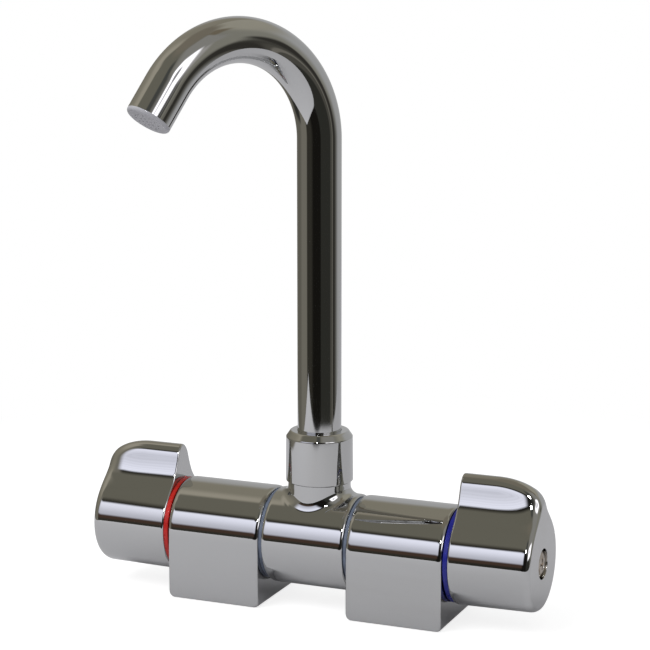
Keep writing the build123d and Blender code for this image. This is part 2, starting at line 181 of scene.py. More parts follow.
def cut(piece, cutters):
    """Take the cutters out of a piece with exact Booleans, apply them, and drop the cutters."""
    for cutter in cutters:
        step = piece.modifiers.new(cutter.name, "BOOLEAN")
        step.operation = "DIFFERENCE"
        step.solver = "EXACT"
        step.object = cutter
    ready = piece.evaluated_get(bpy.context.evaluated_depsgraph_get())
    mesh = bpy.data.meshes.new_from_object(ready)
    piece.modifiers.clear()
    piece.data = mesh
    for cutter in cutters:
        bpy.data.objects.remove(cutter)


def settle(piece, node, body, slot):
    """Hand a finished piece over: it is smooth but along edges that turn by more than the corner
    angle, replaces its node, rides on its body and names its slot."""
    piece.data.shade_smooth()
    piece.data.set_sharp_from_angle(angle=CORNER)
    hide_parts(node)
    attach(piece, body)
    piece["finish"] = slot
    print(piece.name, "triangles:", sum(len(p.vertices) - 2 for p in piece.data.polygons))


print("grid helpers ready")

# %% [markdown]
# ## Turned pieces
# Much of a tap is made on a lathe: rings, the collar nut, screws and bores. Such a piece is a closed
# outline of radii and places, carried once round an axis. The outline's corners get true quarter
# rounds, and beside each a close extra row that holds the flat next to it flat in the reflections.

# %% Lathe
BARREL_AXIS = (np.array([0.0, 0.0, AXIS_HEIGHT]), np.array([1.0, 0.0, 0.0]))
COLUMN_AXIS = (np.zeros(3), np.array([0.0, 0.0, 1.0]))


def rounded_outline(corners, closed=True, steps=7):
    """Corners (radius, place, rounding) to a point list. A rounding r at a corner that turns by a
    starts r*tan(a/2) before it and follows a circle of radius r to the same distance after it."""
    spots = np.array([c[:2] for c in corners], float)
    rounds = np.array([c[2] if len(c) > 2 else 0.0 for c in corners])
    count = len(spots)
    pieces = []
    for k in range(count):
        before, here, after = spots[k - 1], spots[k], spots[(k + 1) % count]
        end = not closed and k in (0, count - 1)
        if rounds[k] == 0 or end:
            pieces.append(here[None])
            continue
        back = (before - here) / np.linalg.norm(before - here)
        on = (after - here) / np.linalg.norm(after - here)
        half = np.arccos(np.clip(back @ on, -1, 1)) / 2
        centre = here + (back + on) / np.linalg.norm(back + on) * rounds[k] / np.sin(half)
        start = here + back * rounds[k] / np.tan(half) - centre
        stop = here + on * rounds[k] / np.tan(half) - centre
        turn = np.pi - 2 * half
        share = np.linspace(0, 1, steps)[:, None]
        arc = (np.sin((1 - share) * turn) * start + np.sin(share * turn) * stop) / np.sin(turn)
        pieces.append(np.concatenate([[arc[0] + back * HOLD], arc, [arc[-1] + on * HOLD]]) + centre)
    return np.concatenate(pieces)


def capped(bar):
    """The rows of a bar, with a row before and after them that is drawn together to one point."""
    lids = [np.repeat(bar[k].mean(0)[None, None], bar.shape[1], axis=1) for k in (0, -1)]
    return np.concatenate([lids[0], bar, lids[1]])


def lathe(outline, axis, columns=160, closed=True):
    """Point = axis origin + place * axis direction + radius * (cos a * side + sin a * other side)."""
    origin, along = axis
    side = np.cross(along, [0.0, 0.0, 1.0] if abs(along[2]) < 0.9 else [0.0, 1.0, 0.0])
    side /= np.linalg.norm(side)
    other = np.cross(along, side)
    turn = np.linspace(0, 2 * np.pi, columns, endpoint=False)[None, :, None]
    radius, place = outline[:, 0][:, None, None], outline[:, 1][:, None, None]
    return origin + place * along + radius * (np.cos(turn) * side + np.sin(turn) * other), True, closed


def rod(name, axis, radius, start, end, columns=64):
    """A plain round bar, closed at its two ends, to cut with."""
    outline = np.array([[0, start], [radius, start], [radius, end], [0, end]], float)
    return new_piece(name, [lathe(outline, axis, columns, closed=False)])


def mirrored(grids):
    """The hot side: the same grids with their places along the barrel turned to the other side."""
    return [(grid * np.array([-1.0, 1.0, 1.0]), ring, loop) for grid, ring, loop in grids]


def both_sides(make):
    """The cold grids and their mirror image, each with the name of its side."""
    cold = make()
    return (("cold", cold), ("hot", mirrored(cold)))


print("lathe ready")

# %% [markdown]
# ## Pedestals
# Each pedestal is a polished casting: a barrel that runs straight down into a rectangular foot, a U
# upside down. One outline round the U, moved along the barrel, makes the skin, and at the ends it
# draws in by a quarter ellipse, as polishing leaves an edge. The same columns then go on inside as
# circles, through counterbore, valve chamber, seat and trunnion's bore, back to where they began. So
# the casting is hollow and closed, and only the three holes from below are cut.

# %% Pedestals
COUNTERBORE, COUNTERBORE_FLOOR = 12.6, 51.37
CHAMBER, CHAMBER_FLOOR = 11.5, 32.0
SEAT, TRUNNION_FLOOR = 5.0, 29.7
INLET, INLET_DEPTH = 7.5, 11.0
THREAD_PITCH, THREAD_DEPTH = 1.337, 0.5
PASSAGE, PASSAGE_RUN = 3.5, (5.0, 13.6)
GRUB_HOLE, GRUB_PLACE, GRUB_TOP = 2.0, 20.9, 18.3
OVERRUN = 1.0


def u_columns(inset):
    """Going round: (y, z) = (r sin a, r cos a) from side to side over the top, then down, round the
    corner as centre + c (cos b, -sin b), across the base and up again. The base rises with the
    inset, so the foot's lower edge is rounded at its ends too."""
    radius = BARREL - inset
    over = np.radians(np.linspace(-90, 90, 91))
    arch = np.stack([radius * np.sin(over), radius * np.cos(over)], -1)
    sole = -AXIS_HEIGHT + FOOT_ROUND * min(1.0, inset / CASTING_DROP)
    drop = np.append(np.append(HOLD, np.linspace(2.0, AXIS_HEIGHT - 4.0, 8)), -sole - FOOT_ROUND - HOLD)
    down = np.stack([np.full_like(drop, radius), -drop], -1)
    bend = np.linspace(0, np.pi / 2, 8)
    turned = np.stack([radius - FOOT_ROUND * (1 - np.cos(bend)), sole + FOOT_ROUND * (1 - np.sin(bend))], -1)
    down = np.concatenate([down, turned])
    across = np.linspace(radius - FOOT_ROUND - HOLD, -radius + FOOT_ROUND + HOLD, 23)
    base = np.stack([across, np.full_like(across, sole)], -1)
    up = down[::-1] * np.array([-1.0, 1.0])
    return np.concatenate([arch, down, base, up])


def circle_columns(radius, like):
    """The same columns on a circle, each straight inwards from its place on the outline."""
    return like / np.linalg.norm(like, axis=-1, keepdims=True) * radius


def along_barrel(place, section):
    """A (y, z) section about the barrel's axis, set at a place along it."""
    return np.concatenate([np.full((len(section), 1), float(place)), section + [0.0, AXIS_HEIGHT]], -1)


def skin_along(rows):
    """One closed skin from rows (place, section)."""
    return [(np.stack([along_barrel(place, section) for place, section in rows]), True, True)]


def pedestal_grid():
    """Rows (place, outline) that go over the outside and back through the bores."""
    outer = u_columns(0)
    turn = np.linspace(0, np.pi / 2, 13)
    rows = [(INNER_FACE, circle_columns(TRUNNION + RUNNING_GAP, outer))]
    rows += [(INNER_FACE, u_columns(CASTING_DROP + HOLD))]
    edge = [(CASTING_ROUND * (1 - np.cos(t)), u_columns(CASTING_DROP * (1 - np.sin(t)))) for t in turn]
    rows += [(INNER_FACE + run, outline) for run, outline in edge]
    start, stop = INNER_FACE + CASTING_ROUND, OUTER_FACE - CASTING_ROUND
    middle = np.concatenate([[start + HOLD], np.linspace(start + 1, stop - 1, 18), [stop - HOLD]])
    rows += [(place, outer) for place in middle]
    rows += [(OUTER_FACE - run, outline) for run, outline in edge[::-1]]
    rows += [(OUTER_FACE, u_columns(CASTING_DROP + HOLD))]
    bores = [(COUNTERBORE, OUTER_FACE), (COUNTERBORE, COUNTERBORE_FLOOR), (CHAMBER, COUNTERBORE_FLOOR)]
    bores += [(CHAMBER, CHAMBER_FLOOR), (SEAT, CHAMBER_FLOOR), (SEAT, TRUNNION_FLOOR)]
    bores += [(TRUNNION + RUNNING_GAP, TRUNNION_FLOOR)]
    rows += [(place, circle_columns(radius, outer)) for radius, place in bores]
    return skin_along(rows)


def thread_cutter(name, x):
    """A tapping tool for the inlet: radius = core + depth * a triangle wave of (height / pitch minus
    turns), so its crests wind up the hole as one helix, faded out at the mouth."""
    columns, rows = 96, 132
    turn = np.linspace(0, 2 * np.pi, columns, endpoint=False)[None, :]
    height = np.linspace(-OVERRUN, INLET_DEPTH, rows)[:, None]
    wave = np.abs(((height / THREAD_PITCH - turn / (2 * np.pi)) % 1.0) * 2 - 1)
    fade = np.clip((INLET_DEPTH - 0.4 - height) / THREAD_PITCH, 0, 1)
    radius = INLET + THREAD_DEPTH * wave * fade
    grid = [x + radius * np.cos(turn), radius * np.sin(turn), np.broadcast_to(height, radius.shape)]
    grid = np.stack(grid, -1)
    lids = [np.broadcast_to([x, 0.0, h], (1, columns, 3)) for h in (-OVERRUN, INLET_DEPTH)]
    return new_piece(name, [(np.concatenate([lids[0], grid, lids[1]]), True, False)])


for side, grids in both_sides(pedestal_grid):
    way = 1 if side == "cold" else -1
    casting = new_piece(side + "_pedestal_casting", grids)
    foot_axis = (np.array([way * FOOT_CENTRE, 0.0, 0.0]), COLUMN_AXIS[1])
    screw_axis = (np.array([way * GRUB_PLACE, 0.0, 0.0]), COLUMN_AXIS[1])
    holes = [thread_cutter("inlet", way * FOOT_CENTRE), rod("passage", foot_axis, PASSAGE, *PASSAGE_RUN)]
    holes += [rod("grub_hole", screw_axis, GRUB_HOLE, -OVERRUN, GRUB_TOP, 48)]
    cut(casting, holes)
    settle(casting, side + "_pedestal", "base", "chrome")

# %% [markdown]
# ## The folding centre
# The middle barrel carries the neck of the spout. Where they meet there is a soft fillet, and on
# chrome the eye goes to it. A ball is imagined rolling round the corner, larger in front and behind
# than at the sides: it touches the barrel along one curve and the neck along another, and the short
# arc between the two is the fillet. The barrel round it is a patch, unrolled flat, that spreads from
# the first curve to a plain rectangle, so that the rest can be an ordinary grid.

# %% Folding centre
PATCH_HALF = TEE_HALF - TEE_ROUND
PATCH_ANGLE = np.radians(62.0)
GROOVE_CENTRES, GROOVE_HALF, GROOVE_FLOOR = (24.9, 27.7), 0.95, 8.4
TRUNNION_CHAMFER, THREAD_CHAMFER, NECK_CHAMFER = 0.4, 0.8, 0.2
WATERWAY, RISER, RISER_TOP = 6.0, 5.5, 44.0
NECK_BORE, NECK_BORE_RUN = 8.45, (40.3, 58.3)
STOP_RADII, STOP_PLACES, STOP_ANGLES = (8.2, 11.0), (19.6, 22.2), (-189.1, -80.9)


def slerp(a, b, share):
    """The unit vector a share of the way from a to b round the sphere."""
    angle = np.arccos(np.clip((a * b).sum(-1, keepdims=True), -1, 1))
    return (np.sin((1 - share) * angle) * a + np.sin(share * angle) * b) / np.sin(angle)


def patch_edge(steps_along=56, steps_round=72):
    """The rectangle (x, unrolled height) round the neck, corner to corner, without a repeated point."""
    half = BARREL * PATCH_ANGLE
    x = np.linspace(PATCH_HALF, -PATCH_HALF, steps_along + 1)[:-1]
    s = np.linspace(-half, half, steps_round + 1)[:-1]
    side_a = np.stack([np.full_like(s, PATCH_HALF), s], -1)
    side_b = np.stack([x, np.full_like(x, half)], -1)
    return np.concatenate([side_a, side_b, -side_a, -side_b]), s / BARREL, x


def on_barrel(x, unrolled):
    """Roll the flat patch back up: the point at x, turned by unrolled / radius from the top."""
    x, turn = np.broadcast_arrays(x, unrolled / BARREL)
    return np.stack([x, BARREL * np.sin(turn), AXIS_HEIGHT + BARREL * np.cos(turn)], -1)


def fillet_radius(theta):
    """The ball's radius at a bearing round the neck: side + (front - side) * sin^2."""
    return NECK_FILLET + (NECK_FRONT_FILLET - NECK_FILLET) * np.sin(theta) ** 2


def tee_grids():
    """Fillet, neck, patch, lower barrel, rounded ends and trunnions, as grids that share their edges."""
    edge, top_turns, edge_x = patch_edge()
    fine = np.linspace(-2 * np.pi, 2 * np.pi, 4001)
    ball_radius = fillet_radius(fine)
    rolled = BARREL * np.arcsin((NECK + ball_radius) * np.sin(fine) / (BARREL + ball_radius))
    seen_angle = np.unwrap(np.arctan2(rolled, (NECK + ball_radius) * np.cos(fine)))
    seen_angle -= seen_angle[2000]
    theta = np.interp(np.unwrap(np.arctan2(edge[:, 1], edge[:, 0])), seen_angle, fine)
    ball_radius = fillet_radius(theta)
    reach, lift = NECK + ball_radius, BARREL + ball_radius
    y = reach * np.sin(theta)
    ball = np.stack([reach * np.cos(theta), y, np.sqrt(lift**2 - y**2)], -1)
    to_neck = np.stack([-np.cos(theta), -np.sin(theta), np.zeros_like(theta)], -1)
    to_barrel = -ball * np.array([0.0, 1.0, 1.0]) / lift[:, None]
    share = np.linspace(0, 1, 17)[:, None, None]
    axis = np.array([0.0, 0.0, AXIS_HEIGHT])
    fillet = ball + ball_radius[:, None] * slerp(to_neck[None], to_barrel[None], share) + axis

    rise = np.linspace(1, 0, 5)[:, None, None]
    neck_foot = fillet[0]
    top = np.array([0.0, 0.0, AXIS_HEIGHT + NECK_HEIGHT])
    neck_top = neck_foot * np.array([1.0, 1.0, 0.0]) + top
    neck = neck_foot + (neck_top - neck_foot) * rise
    rim = neck_top - top
    spigot = [(0.0, NECK_TOP), (NECK_THREAD - THREAD_CHAMFER, NECK_TOP)]
    spigot += [(NECK_THREAD, NECK_TOP - THREAD_CHAMFER), (NECK_THREAD, NECK_HEIGHT)]
    spigot += [(NECK - NECK_CHAMFER, NECK_HEIGHT)]
    cap = [rim * (radius / NECK) + [0.0, 0.0, AXIS_HEIGHT + height] for radius, height in spigot]
    cap += [rim + (top - [0.0, 0.0, NECK_CHAMFER])]
    neck[0] = cap[-1]
    upper = np.concatenate([np.stack(cap[:-1]), neck])

    touch = np.stack([ball[:, 0], BARREL * np.arcsin(y / lift)], -1)
    spread = (np.linspace(0, 1, 15) ** 1.4)[:, None, None]
    flat = touch + (edge - touch) * spread
    patch = on_barrel(flat[..., 0], flat[..., 1])

    low_turns = np.linspace(PATCH_ANGLE, 2 * np.pi - PATCH_ANGLE, 121)
    across_x = np.append(edge_x, -PATCH_HALF)
    lower = on_barrel(across_x[None, :], BARREL * low_turns[:, None])

    turns = np.concatenate([top_turns, low_turns[:-1]])
    bend = np.linspace(0, np.pi / 2, 12)
    ends = [(PATCH_HALF + TEE_ROUND * np.sin(t), BARREL - TEE_DROP * (1 - np.cos(t))) for t in bend]
    ends += [(TEE_HALF, BARREL - TEE_DROP - HOLD), (TEE_HALF, TRUNNION)]
    for centre in GROOVE_CENTRES:
        near, far = centre - GROOVE_HALF, centre + GROOVE_HALF
        ends += [(near, TRUNNION), (near, GROOVE_FLOOR), (far, GROOVE_FLOOR), (far, TRUNNION)]
    ends += [(TRUNNION_END - TRUNNION_CHAMFER, TRUNNION), (TRUNNION_END, TRUNNION - TRUNNION_CHAMFER)]
    ends += [(TRUNNION_END, 0.0)]
    place, radius = (np.array(column)[:, None] for column in zip(*ends))
    ring = [np.broadcast_to(place, (len(ends), len(turns))), radius * np.sin(turns), radius * np.cos(turns)]
    end = np.stack(ring, -1) + axis
    grids = [(upper, True, False), (fillet, True, False), (patch, True, False), (lower, False, False)]
    return grids + [(end, True, False)] + mirrored([(end, True, False)])


def ring_sector(name, radii, places, angles, columns=40):
    """A part-turn groove's space: a rectangle of two radii and two places, turned between angles."""
    (inner, outer), (near, far) = radii, places
    corner = np.array([[inner, near], [outer, near], [outer, far], [inner, far]])
    turn = np.radians(np.linspace(*angles, columns))[:, None]
    radius, place = corner[:, 0][None, :], corner[:, 1][None, :] * np.ones_like(turn)
    body = np.stack([place, radius * np.cos(turn), AXIS_HEIGHT + radius * np.sin(turn)], -1)
    return new_piece(name, [(capped(body), True, False)])


tee = new_piece("centre_tee_casting", tee_grids())
reach = TRUNNION_END + OVERRUN
waterways = [rod("waterway", BARREL_AXIS, WATERWAY, -reach, reach, 96)]
waterways += [rod("riser", COLUMN_AXIS, RISER, AXIS_HEIGHT, RISER_TOP, 96)]
waterways += [rod("neck_bore", COLUMN_AXIS, NECK_BORE, *NECK_BORE_RUN, 128)]
for way in (1, -1):
    places = [way * place for place in STOP_PLACES]
    waterways.append(ring_sector("fold_stop", STOP_RADII, places, STOP_ANGLES))
cut(tee, waterways)
settle(tee, "centre_tee", "tee", "chrome")

# %% [markdown]
# ## The collar nut
# A round nut holds the spout down on the neck. It flares a little towards its foot, has a flat crown
# and a wide chamfer between the two. The chamfer's lower edge catches the light as a thin bright
# line, so its rounding is real geometry.

# %% Collar nut
NUT_FOOT, NUT_SEAT, NUT_TOP = 46.6, 61.8, 65.3
NUT_BORE, NUT_CROWN, NUT_SHOULDER, NUT_SKIRT = 8.05, 10.6, 12.2, 12.35
NUT_CHAMFER = 2.3
nut_corners = [(NUT_BORE, NUT_TOP, 0.2), (NUT_CROWN, NUT_TOP, 0.9)]
nut_corners += [(NUT_SHOULDER, NUT_TOP - NUT_CHAMFER, 0.9), (NUT_SKIRT, NUT_FOOT, 0.3)]
nut_corners += [(NECK_THREAD, NUT_FOOT), (NECK_THREAD, NUT_SEAT), (NUT_BORE, NUT_SEAT)]
nut = new_piece("spout_nut_turned", [lathe(rounded_outline(nut_corners), COLUMN_AXIS, 192)])
settle(nut, "spout_nut", "tee", "chrome")

# %% [markdown]
# ## The spout
# The spout is one drawn tube: a straight column, a hook and a short straight end. A circle is carried
# along that path, which lies in one upright plane, so the circle never has to twist. The skin goes up
# the outside, turns in over the wall's edge and comes back down the bore.

# %% Spout tube
REACH_WAY = np.array([-np.sin(HEADING), -np.cos(HEADING), 0.0])
UP = np.array([0.0, 0.0, 1.0])
SIDE_WAY = np.cross(REACH_WAY, UP)
HOOK_CENTRE = REACH_WAY * BEND_RADIUS + UP * BEND_START


def spout_path(end_run):
    """Centre points and headings: up the column, round the hook by its sweep, then straight on."""
    column = np.append(np.linspace(TUBE_FOOT, BEND_START, 15)[:-1], BEND_START - HOLD)
    turn = np.radians(np.linspace(0, BEND_SWEEP, 145))[:, None]
    arc = HOOK_CENTRE - REACH_WAY * BEND_RADIUS * np.cos(turn) + UP * BEND_RADIUS * np.sin(turn)
    arc_way = REACH_WAY * np.sin(turn) + UP * np.cos(turn)
    run = np.concatenate([[HOLD], np.linspace(0, end_run, 6)[1:]])[:, None]
    nose = arc[-1] + arc_way[-1] * run
    points = np.concatenate([column[:, None] * UP, arc, nose])
    upright, onwards = np.repeat(UP[None], len(column), 0), np.repeat(arc_way[-1:], len(run), 0)
    return points, np.concatenate([upright, arc_way, onwards])


def carried_circle(points, ways, radius, columns):
    """Point = centre + radius * (cos a * the hook plane's own normal to the way + sin a * sideways)."""
    across = np.cross(ways, SIDE_WAY)[:, None, :]
    turn = np.linspace(0, 2 * np.pi, columns, endpoint=False)[None, :, None]
    return points[:, None, :] + radius * (np.cos(turn) * across + np.sin(turn) * SIDE_WAY)


path_points, path_ways = spout_path(STRAIGHT_END - FLANGE)
outer_skin = carried_circle(path_points, path_ways, TUBE, 128)
inner_skin = carried_circle(path_points, path_ways, TUBE_BORE, 128)[::-1]
tube = new_piece("spout_tube_bent", [(np.concatenate([outer_skin, inner_skin]), True, True)])
settle(tube, "spout_tube", "spout", "chrome")
print("tube's run in mm:", round(float(np.linalg.norm(np.diff(path_points, axis=0), axis=1).sum()), 1))

# %% [markdown]
# ## The outlet
# A moulded flow straightener closes the end of the tube: a softly rounded flange of the tube's own
# diameter, a cup that plugs into the bore, and a plate with rings of fine holes cut through it.

# %% Outlet insert
CUP, CUP_BORE, CUP_DEPTH, PLATE_DEPTH = 6.95, 5.95, 9.2, 2.2
DRILL, DRILL_PITCH, DRILL_RINGS = 0.32, 2.2, 3
outlet_way = path_ways[-1]
outlet_tip = path_points[-1] + outlet_way * FLANGE
outlet_axis = (outlet_tip, outlet_way)
insert_corners = [(0.0, 0.0), (TUBE, 0.0, 1.1), (TUBE, -FLANGE), (CUP, -FLANGE), (CUP, -CUP_DEPTH, 0.2)]
insert_corners += [(CUP_BORE, -CUP_DEPTH, 0.2), (CUP_BORE, -PLATE_DEPTH), (0.0, -PLATE_DEPTH)]
insert_outline = rounded_outline(insert_corners, closed=False)
insert = new_piece("outlet_insert_moulded", [lathe(insert_outline, outlet_axis, 128, closed=False)])
bit = np.array([[0, -PLATE_DEPTH - OVERRUN], [DRILL, -PLATE_DEPTH - OVERRUN], [DRILL, OVERRUN], [0, OVERRUN]])
drills = []
for ring in range(DRILL_RINGS):
    holes = max(1, 6 * ring)
    for step in range(holes):
        turn = 2 * np.pi * step / holes
        sideways = np.cos(turn) * SIDE_WAY + np.sin(turn) * np.cross(outlet_way, SIDE_WAY)
        centre = outlet_tip + DRILL_PITCH * ring * sideways
        drills.append(lathe(bit, (centre, outlet_way), 16, closed=False))
cut(insert, [new_piece("drills", drills)])
settle(insert, "outlet_insert", "spout", "insert_grey")

# %% [markdown]
# ## Seam washers and marker rings
# Between the pedestals and the middle barrel sits a thin grey-blue thrust washer, and behind each
# knob a marker ring, red for hot and blue for cold: small, but the only colour on the tap.

# %% Washers and marker rings
WASHER_BORE, WASHER, WASHER_FACE = 10.05, 16.75, 15.95
RING_BORE, RING_STEP, RING_FACE, RING_TAIL = 12.05, 13.2, 53.95, 58.2


def washer_grid():
    corners = [(WASHER_BORE, WASHER_FACE, 0.1), (WASHER, WASHER_FACE, 0.25)]
    corners += [(WASHER, INNER_FACE, 0.25), (WASHER_BORE, INNER_FACE, 0.1)]
    return [lathe(rounded_outline(corners), BARREL_AXIS)]


def marker_ring_grid():
    corners = [(RING_BORE, RING_FACE, 0.1), (RING, RING_FACE, 0.3), (RING, KNOB_START, 0.2)]
    corners += [(RING_STEP, KNOB_START), (RING_STEP, RING_TAIL, 0.2), (RING_BORE, RING_TAIL, 0.1)]
    return [lathe(rounded_outline(corners), BARREL_AXIS)]


for side, grids in both_sides(washer_grid):
    settle(new_piece(side + "_seam_washer_moulded", grids), side + "_seam_washer", "base", "seam_grey")
for side, grids in both_sides(marker_ring_grid):
    ring = new_piece(side + "_colour_ring_moulded", grids)
    settle(ring, side + "_colour_ring", side + "_handle", {"cold": "blue_ring", "hot": "red_ring"}[side])

# %% [markdown]
# ## Knobs
# A knob is round below and rises to a fin above, which is what the fingers turn. Its outline is half
# a circle and a smooth curve through seven points on either flank. The lower flank stays the same all
# along the knob, so a straight reflection runs down it. Only the fin's crest and the points near it
# fall away towards the end, as a quarter ellipse, where the fin's flanks also draw together a little.

# %% Knob outline
FLANK_SHARES = np.array([
    # width, height, part in the fall, part in the pinch
    (1.000, 0.000, 0.00, 0.0), (0.941, 0.199, 0.00, 0.0), (0.823, 0.331, 0.00, 0.0),
    (0.637, 0.464, 0.00, 0.2), (0.440, 0.596, 0.06, 0.7), (0.330, 0.715, 0.28, 1.0),
    (0.255, 0.828, 0.56, 0.9), (0.155, 0.950, 0.86, 0.5), (0.000, 1.000, 1.00, 0.0),
])
CREST, TAPER = 30.2, 0.45
CREST_FALL, FALL_START, FALL_REACH = 9.4, 13.0, 17.6
PINCH, PINCH_START, PINCH_REACH = 1.5, 22.0, 8.4
TEETH = 12


def smooth_curve(points, first_way, last_way, samples=1200):
    """A cubic spline through the points with given end slopes, by chord length. Its slopes m solve the
    usual tridiagonal system: each inner row asks that the curvature is the same from both sides."""
    length = np.concatenate([[0], np.cumsum(np.linalg.norm(np.diff(points, axis=0), axis=1))])
    gap = np.diff(length)
    count = len(points)
    system, known = np.eye(count), np.zeros((count, 2))
    known[0], known[-1] = first_way, last_way
    inner = np.arange(1, count - 1)
    system[inner, inner - 1], system[inner, inner] = gap[1:], 2 * (gap[1:] + gap[:-1])
    system[inner, inner + 1] = gap[:-1]
    rise = np.diff(points, axis=0) / gap[:, None]
    known[inner] = 3 * (gap[1:, None] * rise[:-1] + gap[:-1, None] * rise[1:])
    slope = np.linalg.solve(system, known)
    where = np.linspace(0, length[-1], samples)
    k = np.clip(np.searchsorted(length, where, side="right") - 1, 0, count - 2)
    t = ((where - length[k]) / gap[k])[:, None]
    step = gap[k][:, None]
    keep = (2 * t**3 - 3 * t**2 + 1) * points[k] + (t**3 - 2 * t**2 + t) * step * slope[k]
    return keep + (3 * t**2 - 2 * t**3) * points[k + 1] + (t**3 - t**2) * step * slope[k + 1]


half_turn = [np.linspace(*span)[:-1] for span in ((0, 24, 57), (24, 90, 81), (90, 180, 61))]
half_turn = np.concatenate(half_turn)
KNOB_TURNS = np.radians(np.concatenate([half_turn, 360 - half_turn[::-1]])[:-1])
KNOB_TURNS = np.append(KNOB_TURNS[KNOB_TURNS < np.pi], np.append(np.pi, KNOB_TURNS[KNOB_TURNS > np.pi]))


def knob_outline(radius, crest, fall, pinch):
    """Reach from the axis at every column: the radius below, the flank's spline above. A flank point is
    (radius * width share - pinch * its share, crest * height share - fall * its share)."""
    points = FLANK_SHARES[:, :2] * [radius, crest] - FLANK_SHARES[:, [3, 2]] * [pinch, fall]
    flank = smooth_curve(points, [0, 1], [-1, 0])
    angle, reach = np.arctan2(flank[:, 0], flank[:, 1]), np.linalg.norm(flank, axis=1)
    turn = np.minimum(KNOB_TURNS, 2 * np.pi - KNOB_TURNS)
    far = np.where(turn < np.pi / 2, np.interp(turn, angle[::-1], reach[::-1]), radius)
    return far[:, None] * np.stack([np.sin(KNOB_TURNS), np.cos(KNOB_TURNS)], -1)


def turned_down(run, start, reach):
    """0 before the start, then a quarter circle: 1 - sqrt(1 - c^2), with c = (run - start) / reach."""
    corner = max(0.0, (run - start) / reach)
    return 1 - np.sqrt(1 - corner**2)


def knob_section(run, inset):
    """The outline at a run along the knob: its radius shrinks evenly by the taper, its crest falls,
    and near the end the fin's flanks draw together."""
    fall = CREST_FALL * turned_down(run, FALL_START, FALL_REACH)
    pinch = PINCH * turned_down(run, PINCH_START, PINCH_REACH)
    return knob_outline(BARREL - TAPER * run / KNOB_LENGTH - inset, CREST - inset, fall, pinch)


def splined(radius, depth):
    """The socket for the spindle's teeth: a circle that steps out at every tooth."""
    tooth = np.clip(2.2 * np.cos(TEETH * KNOB_TURNS) + 0.3, 0, 1)
    reach = radius + depth * tooth
    return reach[:, None] * np.stack([np.sin(KNOB_TURNS), np.cos(KNOB_TURNS)], -1)


print("knob outline:", len(KNOB_TURNS), "columns")

# %% [markdown]
# Every row of a knob is the outline of its own place. The same columns then run over the rounded rim,
# across the end face, down the screw's recess, and back through the splined socket and the pocket
# behind, so that the knob is one closed skin.

# %% Knobs
END_ROUND, END_DROP = 3.0, 1.9
INNER_ROUND, LIP = 0.8, 0.25
RECESS, SCREW_HOLE = 5.5, 2.15
SPLINE, SPLINE_DEPTH = 3.55, 0.5
SOCKET_FOOT, SOCKET_TOP, POCKET_FLOOR = 60.92, 70.92, 73.7
BOSS = 7.2


def knob_grid():
    """Rows from the pocket over the outside to the screw's recess and back through the socket."""
    turn = np.linspace(0, np.pi / 2, 9)
    runs = [(INNER_ROUND * (1 - np.cos(t)), INNER_ROUND * (1 - np.sin(t))) for t in turn]
    start, stop = INNER_ROUND, KNOB_LENGTH - END_ROUND
    share = np.linspace(0, 1, 48)[1:-1]
    runs += [(start + HOLD, 0.0)] + [(start + (stop - start) * (s + 0.12 * s * (1 - s)), 0.0) for s in share]
    runs += [(stop + END_ROUND * np.sin(t), END_DROP * (1 - np.cos(t))) for t in turn]
    rows = [(KNOB_START, knob_section(0.0, INNER_ROUND + HOLD))]
    rows += [(KNOB_START + run, knob_section(run, inset)) for run, inset in runs]
    rows += [(KNOB_END, knob_section(KNOB_LENGTH, END_DROP + HOLD))]
    recess = [(RECESS + LIP + HOLD, KNOB_END)]
    recess += [(RECESS + LIP * (1 - np.sin(t)), KNOB_END - LIP * (1 - np.cos(t))) for t in turn[::2]]
    recess += [(RECESS, SCREW_SEAT), (SCREW_HOLE, SCREW_SEAT), (SCREW_HOLE, SOCKET_TOP)]
    like = knob_section(KNOB_LENGTH, END_DROP)
    rows += [(place, circle_columns(radius, like)) for radius, place in recess]
    rows += [(place, splined(SPLINE, SPLINE_DEPTH)) for place in (SOCKET_TOP, SOCKET_FOOT)]
    boss = [(BOSS, SOCKET_FOOT), (BOSS, POCKET_FLOOR), (POCKET, POCKET_FLOOR), (POCKET, KNOB_START)]
    rows += [(place, circle_columns(radius, like)) for radius, place in boss]
    return skin_along(rows)


for side, grids in both_sides(knob_grid):
    knob = new_piece(side + "_knob_casting", grids)
    settle(knob, side + "_knob", side + "_handle", "chrome")

# %% [markdown]
# ## Knob screws
# In the recess of each knob sits a domed screw of dull steel. Its head is turned, with a deep
# rounding that makes the dome, and the cross for the screwdriver is cut into it, wide at the top and
# narrow at its floor.

# %% Knob screws
HEAD, HEAD_TOP, DOME_FROM, DOME_DROP = 4.8, 85.4, 84.7, 0.35
SHANK, SHANK_END = 2.0, 63.22
CROSS_ROWS = [(84.1, 1.35, 0.28), (85.45, 2.3, 0.45), (86.7, 2.6, 0.5)]


def screw_grid():
    """A turned outline whose top then sinks by drop * (radius / head radius)^2."""
    corners = [(0.0, HEAD_TOP), (HEAD, HEAD_TOP, 1.7), (HEAD, SCREW_SEAT, 0.15), (SHANK, SCREW_SEAT)]
    corners += [(SHANK, SHANK_END, 0.2), (0.0, SHANK_END)]
    outline = rounded_outline(corners, closed=False, steps=12)
    inside = outline[:, 1] > DOME_FROM
    outline[inside, 1] -= DOME_DROP * (outline[inside, 0] / HEAD) ** 2
    return [lathe(outline, BARREL_AXIS, 128, closed=False)]


def cross_arm(name, way, upright):
    """One arm of the cross, from rows (place, half length, half width) that narrow to its floor."""
    rows = []
    for place, long, wide in CROSS_ROWS:
        y, z = (wide, long) if upright else (long, wide)
        rows.append([(place, -y, -z), (place, y, -z), (place, y, z), (place, -y, z)])
    body = capped(np.array(rows, float)) * [way, 1.0, 1.0] + BARREL_AXIS[0]
    return new_piece(name, [(body, True, False)])


